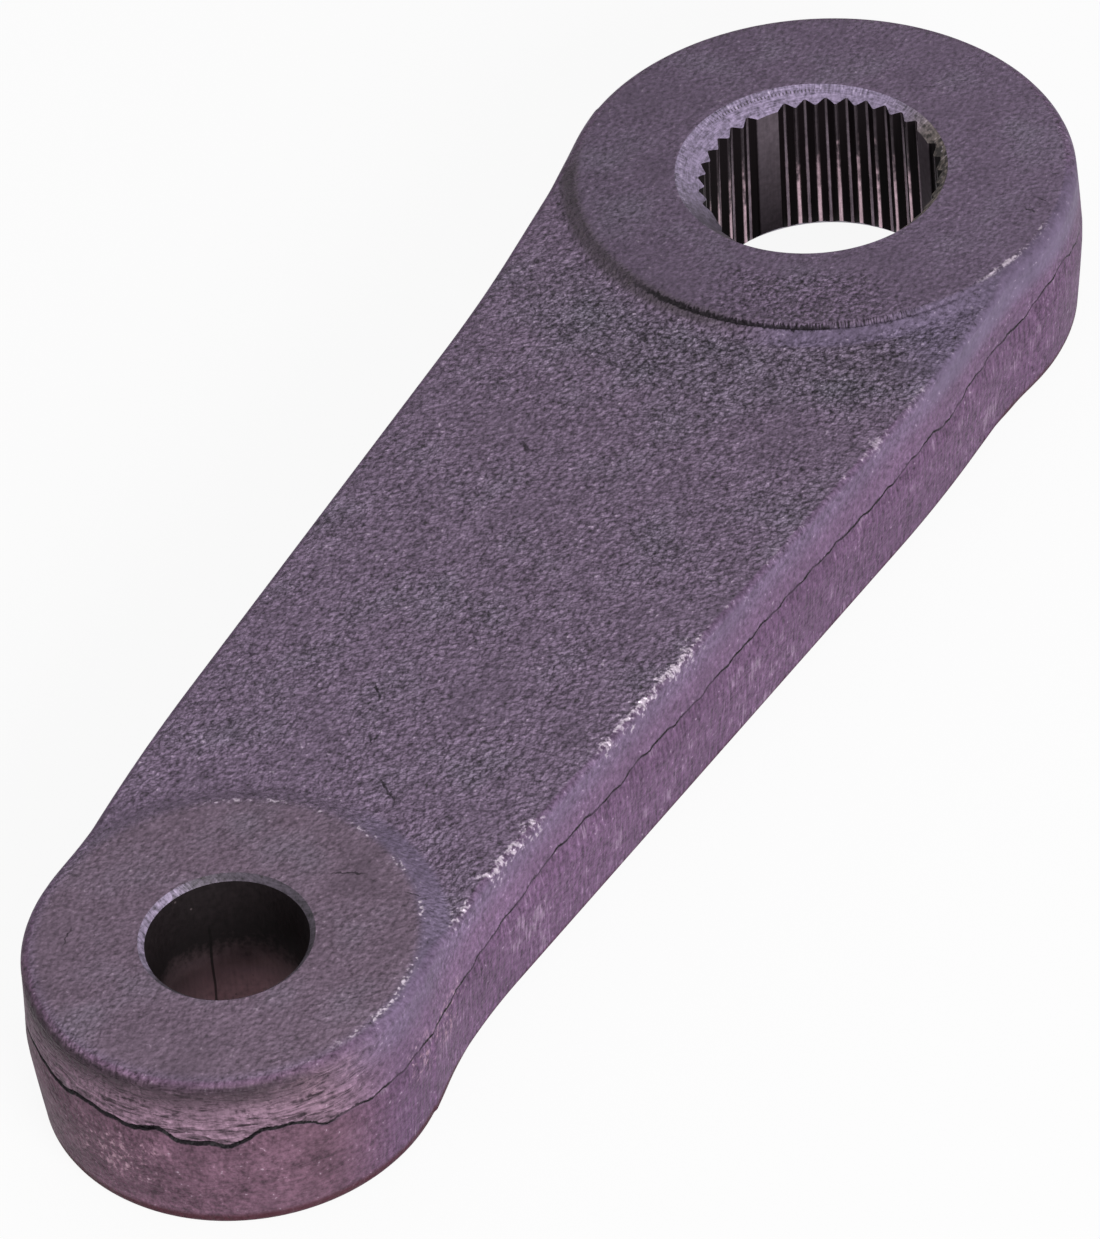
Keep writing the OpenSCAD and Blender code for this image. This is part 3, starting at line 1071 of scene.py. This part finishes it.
@dataclass(frozen=True)
class FlashLine:
    """The wavy line that the trimmed flash left round the side."""

    nose: tuple[Point, ...] = (
        (-75, 14.4), (-52, 14.9), (-37, 16.4), (-29, 15.5), (-21, 15.4), (-11, 16.1), (-6, 15.4),
        (1, 15.1), (5, 15.3), (8, 16.0), (11, 15.5), (16, 14.2), (21, 14.4), (26, 14.0), (30, 13.9),
        (33, 14.4), (37, 15.5), (42, 15.9), (48, 15.6), (52, 14.8), (54, 13.9), (58, 14.2),
        (64, 14.3), (70, 14.1), (79, 14.0), (86, 14.2), (97, 13.9),
    )
    near: tuple[Point, ...] = (
        (-2, 16.4), (5, 15.4), (10, 14.4), (16, 15.2), (24, 15.0), (29, 13.8), (34, 14.9),
        (43, 14.3), (49, 14.2), (60, 14.8), (75, 15.0), (79, 14.7), (84, 14.8), (90, 14.5),
        (96, 15.0), (102, 15.4), (106, 14.7), (114, 15.5), (121, 15.5), (126, 14.6), (135, 13.8),
        (144, 13.4), (150, 13.9),
    )
    rest: float = 14.7
    waves: tuple[Wave, ...] = ((0.45, 6.1, 0.0), (0.3, 2.7, 1.0), (0.2, 1.3, 0.0))
    shivers: tuple[Wave, ...] = ((0.14, 0.9, 0.0), (0.09, 0.47, 2.0))
    to_nose_near: Point = (147.0, 153.0)
    to_nose_far: Point = (152.0, 159.0)
    to_near: Point = (-9.0, -1.0)
    thicker: Point = (-62.0, -20.0)
    blur: float = 1.7
    blur_reach: int = 4
    thin: float = 0.08
    thick: float = 0.38
    deep: float = 0.36

    def heights(self, ring: np.ndarray) -> tuple[np.ndarray, np.ndarray]:
        """Height and half width of the line at each point of the outline.

        Args:
            ring: The outline.

        Returns:
            The heights and the half widths.
        """
        x, y = ring.T
        angle = np.degrees(np.arctan2(y, x - CENTRES))
        at_nose = np.where(y > 0, ease(x, *self.to_nose_near), ease(x, *self.to_nose_far))
        at_near = np.where(y > 0, ease(x, *self.to_near), 0.0)
        run = run_round(ring)
        fade = np.sin(np.pi * np.clip(run / run[-1], 0, 1))
        height = self.rest + ripple(run, self.waves) * fade
        height = height * (1 - at_near) + traced(x, self.near) * at_near
        height = height * (1 - at_nose) + traced(angle, self.nose) * at_nose
        n = self.blur_reach
        kernel = hump(np.arange(-n, n + 1), 0.0, self.blur)
        wrapped = np.concatenate([height[-n:], height, height[:n]])
        height = np.convolve(wrapped, kernel / kernel.sum(), "valid") + ripple(run, self.shivers)
        heavy = at_nose * ease(-angle, *self.thicker)
        return height, self.thin + (self.thick - self.thin) * heavy


@dataclass
class SerratedBore:
    """The serrated, tapered bore of the big end, with its countersink and bottom chamfer."""

    positions: int = 36
    blanks: int = 4
    first_blank: float = 53.5
    land_top_r: float = 15.0
    lean: float = 0.03125
    depth: float = 0.78
    half_mouth: float = 0.45
    half_root: float = 0.05
    half_blank: float = 0.7
    sink_deep: float = 1.2
    sink_r: float = 17.65
    sink_x: float = 0.5
    sink_y: float = -1.0
    sink_half_angle: float = 61.0
    steep_half_angle: float = 44.0
    steep_turn: float = 50.0
    chamfer_r: float = 17.0
    per_pitch: int = 20
    rows: int = 22
    sink_rows: int = 5

    READINGS = ("groove", "blank", "wall")

    @property
    def columns(self) -> int:
        """Number of columns round the bore."""
        return self.positions * self.per_pitch

    def inputs(self) -> dict[str, Union[int, float]]:
        """The tree's named inputs.

        Returns:
            Their values, whole numbers for counts of points.
        """
        return {
            "Columns": self.columns + 1,
            "Rows": self.rows,
            "Columns per pitch": float(self.per_pitch),
            "Positions": float(self.positions),
            "Positions per blank": self.positions / self.blanks,
            "First blank": math.radians(self.first_blank),
            "Land radius": self.land_top_r + THICKNESS * self.lean,
            "Lean": self.lean,
            "Depth": self.depth,
            "Half mouth": self.half_mouth,
            "Half root": self.half_root,
            "Half blank": self.half_blank,
            "Thickness": THICKNESS,
            "Sink depth": self.sink_deep,
            "Sink radius": self.sink_r,
            "Sink X": self.sink_x,
            "Sink Y": self.sink_y,
            "Sink slope": math.tan(math.radians(self.sink_half_angle)),
            "Steep slope": math.tan(math.radians(self.steep_half_angle)),
            "Steep turn": math.radians(self.steep_turn),
            "Chamfer radius": self.chamfer_r,
        }

    def tree(self) -> tuple[bpy.types.NodeTree, dict[str, str]]:
        """Builds the Geometry Nodes that roll a grid up into the serrated wall.

        Returns:
            The tree, and the identifier of each named input.
        """
        tree = bpy.data.node_groups.new("serrated_wall", "GeometryNodeTree")
        kinds = {n: "Int" if isinstance(v, int) else "Float" for n, v in self.inputs().items()}
        names: dict[str, str] = {}
        for name, kind in (*kinds.items(), ("Metal", "Material")):
            socket = tree.interface.new_socket(name, socket_type=f"NodeSocket{kind}")
            names[name] = socket.identifier
        tree.interface.new_socket("Wall", in_out="OUTPUT", socket_type="NodeSocketGeometry")
        b = NodeBench(tree)
        given = b.add("NodeGroupInput")
        g = {name: given.other(name) for name in names}

        index = b.add("GeometryNodeInputIndex")
        column = ((index + 0.5) / g["Rows"]).floor()
        row = index - column * g["Rows"]
        pitch = column / g["Columns per pitch"]
        nearest = (pitch + 0.5).floor()
        off = abs(pitch - nearest)
        cut = (g["Half mouth"] - off) / (g["Half mouth"] - g["Half root"])
        blank = (nearest % g["Positions per blank"]) < 0.5
        cut = cut.at_least(0.0).at_most(1.0) * (1.0 - blank)
        from_blank = (pitch / g["Positions per blank"] + 0.5) % 1.0 - 0.5
        wide = abs(from_blank) * g["Positions per blank"] < g["Half blank"]
        turn = g["First blank"] + pitch * (2 * math.pi) / g["Positions"]
        across, up = b.math("COSINE", turn), b.math("SINE", turn)
        foot = g["Land radius"] + cut * g["Depth"]
        low = (g["Chamfer radius"] - foot) / (1.0 - g["Lean"])
        reach = foot - g["Lean"] * (g["Thickness"] - g["Sink depth"])
        off_x, off_y = reach * across - g["Sink X"], reach * up - g["Sink Y"]
        from_sink = b.math("SQRT", off_x * off_x + off_y * off_y)
        steep = b.math("COSINE", turn - g["Steep turn"]).ease(-0.3, 0.4)
        slope = g["Sink slope"] + (g["Steep slope"] - g["Sink slope"]) * steep
        high = g["Thickness"] - (g["Sink radius"] - from_sink) / slope
        share = row / (g["Rows"] - 1.0)
        height = low + (high - low) * share
        radius = (foot - g["Lean"] * height) * MM
        place = b.join(radius * across, radius * up, height * MM)
        counts = {"Vertices X": g["Columns"], "Vertices Y": g["Rows"]}
        shape = b.add("GeometryNodeMeshGrid", None, counts)
        for name, value in zip(self.READINGS, (cut, wide, share)):
            shape = b.add(
                "GeometryNodeStoreNamedAttribute",
                {"data_type": "FLOAT", "domain": "POINT"},
                {"Geometry": shape, "Name": name, "Value": value},
            )
        shape = b.add("GeometryNodeSetPosition", None, {"Geometry": shape, "Position": place})
        shape = b.add("GeometryNodeFlipFaces", None, {"Mesh": shape})
        shape = b.add("GeometryNodeRealizeInstances", None, {"Geometry": shape})
        shape = b.add("GeometryNodeSetMaterial", None, {"Geometry": shape, "Material": g["Metal"]})
        b.add("NodeGroupOutput", None, {"Wall": shape})
        return tree, names

    def wall(self, metal: bpy.types.Material) -> tuple[np.ndarray, dict[str, np.ndarray]]:
        """Runs the tree and reads its wall.

        Args:
            metal: Material of the serration.

        Returns:
            The wall's points in millimetres and their readings, by row and column.
        """
        tree, names = self.tree()
        holder = show("serrated_wall", bpy.data.meshes.new("serrated_wall"))
        modifier = holder.modifiers.new("serrated_wall", "NODES")
        modifier.node_group = tree
        for name, value in (*self.inputs().items(), ("Metal", metal)):
            modifier[names[name]] = value
        graph = bpy.context.evaluated_depsgraph_get()
        mesh = bpy.data.meshes.new_from_object(holder.evaluated_get(graph))
        points = np.zeros(len(mesh.vertices) * 3, np.float32)
        mesh.vertices.foreach_get("co", points)
        points = points.reshape(self.columns + 1, self.rows, 3) / MM
        readings = {}
        for name in self.READINGS:
            values = np.zeros(len(mesh.vertices), np.float32)
            mesh.attributes[name].data.foreach_get("value", values)
            readings[name] = values.reshape(self.columns + 1, self.rows)[:-1].T
        holder.modifiers.remove(modifier)
        bpy.data.objects.remove(holder)
        bpy.data.meshes.remove(mesh)
        bpy.data.node_groups.remove(tree)
        return points[:-1].transpose(1, 0, 2), readings

    def build(self, pile: MeshPile, metal: bpy.types.Material) -> tuple[np.ndarray, np.ndarray]:
        """Adds the wall, the countersink and the bottom chamfer.

        Args:
            pile: Takes the patches.
            metal: Material of the serration.

        Returns:
            The rims of the countersink and of the chamfer.
        """
        grid, readings = self.wall(metal)
        pile.band(grid, Finish.SERRATION, **readings)

        def welded(row: int, times: int) -> dict[str, np.ndarray]:
            """The wall's readings at one row, for every row of the patch that is welded to it."""
            return {name: np.tile(values[row], times) for name, values in readings.items()}

        foot, start = grid[0], grid[-1]
        centre = np.array([self.sink_x, self.sink_y])
        edge = centre + self.sink_r * unit(start[:, :2] - centre)
        rim = np.column_stack([edge, np.full(self.columns, THICKNESS)])
        shares = np.linspace(0.0, 1.0, self.sink_rows)[:, None, None]
        cone = start * (1 - shares) + rim * shares
        pile.band(cone, Finish.COUNTERSINK, **welded(-1, self.sink_rows))
        base = np.column_stack([self.chamfer_r * unit(foot[:, :2]), np.zeros(self.columns)])
        pile.band(np.stack([base, foot]), Finish.COUNTERSINK, **welded(0, 2))
        return rim, base


@dataclass
class StudHole:
    """The tapered stud hole of the small end, chamfered at both mouths."""

    mouth_r: float = 9.45
    chamfer: float = 0.7
    lean: float = 0.0625
    low_chamfer: float = 0.5
    columns: int = 200
    rows: int = 10

    def build(self, pile: MeshPile) -> tuple[np.ndarray, np.ndarray]:
        """Adds the wall and its chamfers.

        Args:
            pile: Takes the patches.

        Returns:
            The upper and the lower rim.
        """
        top, r, c = THICKNESS - self.chamfer, self.mouth_r, self.chamfer
        heights = np.linspace(self.low_chamfer, top, self.rows)
        radii = r - (top - heights) * self.lean
        low_r = r - top * self.lean + self.low_chamfer
        upper = self.rings([r, r + c * 0.5, r + c], [top, top + c * 0.55, THICKNESS])
        lower = self.rings([low_r, radii[0]], [0.0, self.low_chamfer])
        pile.band(self.rings(radii, heights), Finish.STUD_WALL)
        pile.band(upper, Finish.COUNTERSINK)
        pile.band(lower, Finish.COUNTERSINK)
        return upper[-1], lower[0]

    def rings(self, radii: Sequence[float], heights: Sequence[float]) -> np.ndarray:
        """Rings round the stud axis, from the bottom up.

        Args:
            radii: Radius of each ring.
            heights: Height of each ring.

        Returns:
            The points, by ring and column.
        """
        flat = np.array(radii)[:, None, None] * circle(self.columns) + np.array([CENTRES, 0.0])
        high = np.broadcast_to(np.array(heights)[:, None, None], (*flat.shape[:2], 1))
        return np.concatenate([flat, high], axis=2)


@dataclass
class ForgedArm:
    """The forging: drafted sides with rounded edges, boss faces, web and both holes."""

    plan: ArmPlan = field(default_factory=ArmPlan)
    flash: FlashLine = field(default_factory=FlashLine)
    bore: SerratedBore = field(default_factory=SerratedBore)
    stud: StudHole = field(default_factory=StudHole)
    web_drop: float = 1.0
    parting: float = 11.85
    boss_draft: float = 4.0
    web_draft: float = 5.0
    big_edge: float = 2.0
    small_edge: float = 1.4
    web_edge: float = 1.0
    edge_blend: Point = (0.05, 1.2)
    big_step: Point = (31.5, 34.6)
    small_step: Point = (21.7, 25.4)
    crease_r: float = 32.2
    crease_deep: float = 0.3
    crease_half: float = 0.3
    crease_turn: tuple[Point, Point] = ((-30.0, 0.0), (52.0, 68.0))
    valley_r: float = 26.0
    valley_deep: float = 0.5
    valley_half: float = 2.4
    valley_turn: tuple[Point, Point] = ((88.0, 118.0), (145.0, 175.0))
    uneven: float = 0.025
    top_wear: tuple[Point, ...] = ((0.0, 0.6), (0.1, 1.0), (0.4, 0.85), (1.0, 0.5))
    low_wear: tuple[Point, ...] = ((0.0, 0.6), (0.1, 1.0), (0.3, 0.9), (0.6, 0.35), (1.0, 0.0))
    arc_steps: int = 8
    upper_rows: int = 8
    lower_rows: int = 12
    step_points: tuple[int, int] = (440, 320)
    step_pitch: Point = (0.35, 0.45)
    crease_pitch: float = 0.1
    rim_points: int = 180
    rim_gap: float = 0.5
    grid_pitch: float = 1.3
    grid_margin: float = 3.4
    ring_margin: float = 3.05
    sharp: float = 32.0
    weld: float = 0.002

    def level(self, x: np.ndarray, y: np.ndarray, side: Side) -> np.ndarray:
        """Height of the broad surface on one side.

        Args:
            x: Plan points.
            y: Plan points.
            side: Which surface it is.

        Returns:
            The heights.
        """
        r_big, r_small = np.hypot(x, y), np.hypot(x - CENTRES, y)
        steps = np.minimum(ease(r_big, *self.big_step), ease(r_small, *self.small_step))
        depth = self.web_drop * steps
        if side is Side.BOTTOM:
            return depth
        crease = window(np.degrees(np.arctan2(y, x)), *self.crease_turn)
        crease *= hump(r_big, self.crease_r, self.crease_half)
        valley = window(np.degrees(np.arctan2(y, x - CENTRES)), *self.valley_turn)
        valley *= hump(r_small, self.valley_r, self.valley_half)
        return THICKNESS - depth - self.crease_deep * crease - self.valley_deep * valley

    def section(self, ring: np.ndarray) -> tuple[np.ndarray, np.ndarray]:
        """Draft angle and edge radius at each point of the outline.

        Args:
            ring: The outline.

        Returns:
            The angles in radians, and the radii.
        """
        x, y = ring.T
        on_big = 1.0 - ease(np.hypot(x, y) - self.plan.big_r, *self.edge_blend)
        on_small = 1.0 - ease(np.hypot(x - CENTRES, y) - self.plan.small_r, *self.edge_blend)
        lean = self.web_draft + (self.boss_draft - self.web_draft) * (on_big + on_small)
        edge = self.web_edge + (self.big_edge - self.web_edge) * on_big
        return np.radians(lean), edge + (self.small_edge - self.web_edge) * on_small

    def sides(self, pile: MeshPile) -> tuple[np.ndarray, np.ndarray]:
        """Adds the side strip, from the upper flat round the flash line to the lower flat.

        Args:
            pile: Takes the strip.

        Returns:
            The rings where the strip meets the upper and the lower flat.
        """
        ring = self.plan.outline()
        along = unit(np.roll(ring, -1, 0) - np.roll(ring, 1, 0))
        normal = np.column_stack([along[:, 1], -along[:, 0]])
        lean, edge = self.section(ring)
        line, half = self.flash.heights(ring)

        def arc(side: Side) -> tuple[np.ndarray, np.ndarray]:
            """Offsets and heights of one rounded edge, from the flat to the flank.

            Args:
                side: Which edge it is.

            Returns:
                The offsets and the heights.
            """
            high = np.full(len(ring), THICKNESS - self.web_drop)
            for _ in range(3):
                rise = high - edge - self.parting
                inset = -(edge + rise * np.sin(lean)) / np.cos(lean)
                level = self.level(*(ring + normal * inset[:, None]).T, side)
                high = level if side is Side.TOP else 2 * self.parting - level
            share = np.linspace(0.0, 1.0, self.arc_steps)[:, None]
            angle = (math.pi / 2) * (1 - share) + lean * share
            heights = high - edge + edge * np.sin(angle)
            heights = heights if side is Side.TOP else 2 * self.parting - heights
            return inset + edge * np.cos(angle), heights

        def flank(height: np.ndarray) -> np.ndarray:
            """Offset of the drafted flank at a height."""
            return -np.abs(height - self.parting) * np.tan(lean)

        top_off, top_z = arc(Side.TOP)
        low_off, low_z = arc(Side.BOTTOM)
        crest, sole = line + half, line - half
        upper = np.linspace(0.0, 1.0, self.upper_rows)[1:-1, None]
        lower = np.linspace(0.0, 1.0, self.lower_rows)[1:-1, None]
        upper_z = top_z[-1] * (1 - upper) + crest * upper
        lower_z = sole * (1 - lower) + low_z[-1] * lower
        heavy = (half - self.flash.thin) / (self.flash.thick - self.flash.thin)
        groove = flank(line) - self.flash.deep * (0.35 + 0.65 * heavy)
        offsets = np.vstack([
            top_off, flank(upper_z), flank(crest), groove,
            flank(sole) - 0.05, flank(lower_z), low_off[::-1],
        ])
        heights = np.vstack([
            top_z, upper_z, crest, line + 0.1 * half, sole, lower_z, low_z[::-1],
        ])
        turned = np.linspace(0.0, 1.0, self.arc_steps)
        bare = np.ones(len(offsets) - 2 * self.arc_steps)
        side = np.concatenate([turned, bare, turned[::-1]])[:, None]
        faded = np.maximum(0.35 - 0.2 * np.arange(len(bare)), 0.0)
        wear = [traced(turned, self.top_wear), faded, traced(turned, self.low_wear)[::-1]]
        run = run_round(ring)
        uneven = self.uneven * (2.0 + np.sin(run / 5.3) + np.sin(run / 2.1 + heights * 0.4))
        offsets = offsets - uneven * (side >= 1.0)
        plan = ring[None] + normal[None] * offsets[:, :, None]
        points = np.concatenate([plan, heights[:, :, None]], axis=2)
        wide = np.ones_like(heights)
        pile.band(
            points,
            Finish.SKIN,
            side=side * wide,
            edge=np.concatenate(wear)[:, None] * wide,
            flash=heights - line,
            heavy=heavy * wide,
        )
        return points[0], points[-1]

    def inner_points(self, holes: Sequence[np.ndarray]) -> np.ndarray:
        """Plan points within the flats: rings over the steps and round the holes, and a grid.

        Args:
            holes: The rims of the two holes.

        Returns:
            The points, one row each.
        """
        big_pitch, small_pitch = self.step_pitch
        fine = np.arange(self.crease_r - 0.7, self.crease_r + 0.75, self.crease_pitch)
        rough = np.arange(self.big_step[0] - 0.6, self.big_step[1] + 1.0, big_pitch)
        rough = rough[np.abs(rough - self.crease_r) > 0.8]
        small = np.arange(self.small_step[0] - 0.6, self.small_step[1] + 4.6, small_pitch)
        radii = (np.concatenate([fine, rough]), small)
        bare = (
            (self.big_step[0] - 1.2, self.big_step[1] + 1.6), (small[0] - 0.6, small[-1] + 0.6)
        )
        columns = np.arange(-40.0, CENTRES + 30.0, self.grid_pitch)
        lines = np.arange(-36.0, 36.0, self.grid_pitch * 0.866)
        grid_x, grid_y = np.meshgrid(columns, lines)
        grid_x[1::2] += self.grid_pitch / 2
        grid = np.column_stack([grid_x.ravel(), grid_y.ravel()])
        parts = []
        for x, reaches, count, (near, far) in zip((0.0, CENTRES), radii, self.step_points, bare):
            centre = np.array([x, 0.0])
            parts.extend(centre + reach * circle(count) for reach in reaches)
            off = np.hypot(*(grid - centre).T)
            grid = grid[(off < near) | (off > far)]
        for rim in holes:
            middle = rim[:, :2].mean(0)
            radius = np.hypot(*(rim[:, :2] - middle).T).mean()
            grid = grid[np.hypot(*(grid - middle).T) > radius + 1.1]
            parts.append(middle + (radius + self.rim_gap) * circle(self.rim_points))
        parts.append(grid[self.plan.outside(*grid.T) < -self.grid_margin])
        points = np.vstack(parts)
        return points[self.plan.outside(*points.T) < -self.ring_margin]

    def flat(
        self, pile: MeshPile, rim: np.ndarray, holes: Sequence[np.ndarray], side: Side
    ) -> None:
        """Adds one broad surface between the side strip and the holes.

        Args:
            pile: Takes the surface.
            rim: Ring where it meets the side strip.
            holes: The rims of the two holes on that side.
            side: Which surface it is.
        """
        loops = [rim, *holes]
        inner = self.inner_points(holes)
        points = np.vstack([*loops, np.column_stack([inner, self.level(*inner.T, side)])])
        edges, start = [], 0
        for loop in loops:
            n = len(loop)
            edges.extend((start + i, start + (i + 1) % n) for i in range(n))
            start += n
        found = delaunay_2d_cdt([Vector(p[:2]) for p in points], edges, [], 0, 1e-6)
        source = np.array([origin[0] if origin else -1 for origin in found[3]])
        triangles = source[np.array(found[2])]
        triangles = triangles[self.inside(points[triangles].mean(1)[:, :2], loops)]
        a, b, c = (points[triangles[:, k], :2] for k in range(3))
        upright = np.cross(b - a, c - a) * side.value > 0
        triangles = np.where(upright[:, None], triangles, triangles[:, ::-1])
        edge = np.zeros(len(points))
        edge[: len(rim)] = self.top_wear[0][1]
        pile.add(points, triangles.tolist(), Finish.SKIN, edge=edge)

    @staticmethod
    def inside(points: np.ndarray, loops: Sequence[np.ndarray]) -> np.ndarray:
        """Whether plan points lie within the first loop and outside the others.

        Args:
            points: The points.
            loops: The closed loops.

        Returns:
            A truth value for each point.
        """
        x, y = points.T
        odd = np.zeros(len(points), bool)
        for loop in loops:
            for (ax, ay), (bx, by) in zip(loop[:, :2], np.roll(loop[:, :2], -1, 0)):
                spans = (ay > y) != (by > y)
                if spans.any():
                    odd ^= spans & (x < ax + (y - ay) * (bx - ax) / (by - ay))
        return odd

    def build(self) -> bpy.types.Object:
        """Builds the dressed forging.

        Returns:
            The object that stands for the CAD node.
        """
        serration = SerrationMetal().make()
        pile = MeshPile()
        upper, lower = self.sides(pile)
        sink_rim, chamfer_rim = self.bore.build(pile, serration)
        stud_top, stud_low = self.stud.build(pile)
        self.flat(pile, upper, (sink_rim, stud_top), Side.TOP)
        self.flat(pile, lower, (chamfer_rim, stud_low), Side.BOTTOM)
        mesh = pile.mesh("forged_arm", self.weld)
        for metal in (ForgedSkin().make(), TurnedCone().make(), serration, StudWall().make()):
            mesh.materials.append(metal)
        mesh.polygons.foreach_set("use_smooth", [True] * len(mesh.polygons))
        mesh.set_sharp_from_angle(angle=math.radians(self.sharp))
        return show("forged_arm", mesh)


# Studio


@dataclass(frozen=True)
class Lamp:
    """A soft square lamp: its place and edge in metres, and its power in watts."""

    name: str
    place: tuple[float, float, float]
    watts: float
    edge: float

    def hang(self, target: Vector) -> None:
        """Hangs the lamp so that it looks at a target.

        Args:
            target: The target, in metres.
        """
        light = bpy.data.lights.new(self.name, "AREA")
        light.energy, light.size = self.watts, self.edge
        turn = (target - Vector(self.place)).to_track_quat("-Z", "Y").to_matrix().to_4x4()
        show(self.name, light).matrix_world = Matrix.Translation(self.place) @ turn


@dataclass(frozen=True)
class Studio:
    """Pale floor, soft light and the photograph's camera."""

    azimuth: float = 121.589
    elevation: float = 42.251
    roll: float = -5.28
    target: tuple[float, float, float] = (81.301, 2.964, 12.8)
    distance: float = 732.842
    focal_px: float = 6028.0
    image_height: float = 1239.0
    sensor: float = 36.0
    floor_half: float = 3000.0
    floor_gap: float = 0.02
    floor_colour: tuple[float, float, float, float] = (0.85, 0.84, 0.85, 1.0)
    floor_white: float = 0.92
    ambient: float = 0.36
    lamps: tuple[Lamp, ...] = (
        Lamp("key", (0.73, 1.01, 0.48), 18.5, 0.6),
        Lamp("top", (-0.25, -0.2, 1.1), 1.6, 0.9),
    )

    @staticmethod
    def seen(b: NodeBench) -> Signal:
        """One for the rays that see the background as it is painted.

        Args:
            b: Bench of the background.

        Returns:
            The mask of those rays.
        """
        path = b.add("ShaderNodeLightPath")
        kinds = ("Camera", "Glossy", "Transmission")
        camera, glossy, through = (path.other(f"Is {kind} Ray") for kind in kinds)
        return camera.at_least(glossy).at_least(through)

    def world(self) -> None:
        """A white world to look at that lights the object at a plain level."""
        world = bpy.data.worlds.new("studio")
        world.use_nodes = True
        bpy.context.scene.world = world
        b = NodeBench(world.node_tree)
        strength = self.ambient + (1.0 - self.ambient) * self.seen(b)
        sky = b.add("ShaderNodeBackground", None, {"Color": WHITE, "Strength": strength})
        b.add("ShaderNodeOutputWorld", None, {"Surface": sky})

    def floor(self) -> None:
        """A pale floor that looks white and keeps the arm's shadow."""
        h, z = self.floor_half * MM, -self.floor_gap * MM
        corners = [(-h, -h, z), (h, -h, z), (h, h, z), (-h, h, z)]
        mesh = bpy.data.meshes.new("floor")
        mesh.from_pydata(corners, [], [(0, 1, 2, 3)])
        material = bpy.data.materials.new("floor")
        material.use_nodes = True
        b = NodeBench(material.node_tree)
        matt = b.add("ShaderNodeBsdfDiffuse", None, {"Color": self.floor_colour})
        white = b.add("ShaderNodeEmission", None, {"Color": WHITE, "Strength": 1.0})
        share = self.seen(b) * self.floor_white
        mixed = b.add("ShaderNodeMixShader", None, {0: share, 1: matt, 2: white})
        b.add("ShaderNodeOutputMaterial", None, {"Surface": mixed})
        mesh.materials.append(material)
        floor = show("floor", mesh)

    def camera(self) -> None:
        """The camera at the photograph's viewing angle."""
        a, e, r = (math.radians(v) for v in (self.azimuth, self.elevation, self.roll))
        back = Vector((math.sin(a) * math.cos(e), -math.cos(a) * math.cos(e), math.sin(e)))
        right = Vector((math.cos(a), math.sin(a), 0.0))
        up = back.cross(right)
        across = right * math.cos(r) + up * math.sin(r)
        upward = up * math.cos(r) - right * math.sin(r)
        place = (Vector(self.target) + back * self.distance) * MM
        lens = bpy.data.cameras.new("camera")
        lens.sensor_width = self.sensor
        lens.lens = self.focal_px / self.image_height * self.sensor
        camera = show("camera", lens)
        axes = Matrix((across, upward, back)).transposed().to_4x4()
        camera.matrix_world = Matrix.Translation(place) @ axes
        bpy.context.scene.camera = camera

    def build(self) -> None:
        """Sets up the whole studio."""
        bpy.context.scene.view_settings.view_transform = "Standard"
        self.world()
        self.floor()
        for lamp in self.lamps:
            lamp.hang(Vector(self.target) * MM)
        self.camera()


def main() -> None:
    """Builds the studio and the arm, and ties the arm to the frame."""
    logging.basicConfig(level=logging.INFO)
    Studio().build()
    arm = ForgedArm().build()
    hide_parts("pitman_arm")
    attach(arm, "root")
    log.info("%s rides on root", arm.name)


if __name__ == "__main__":
    main()
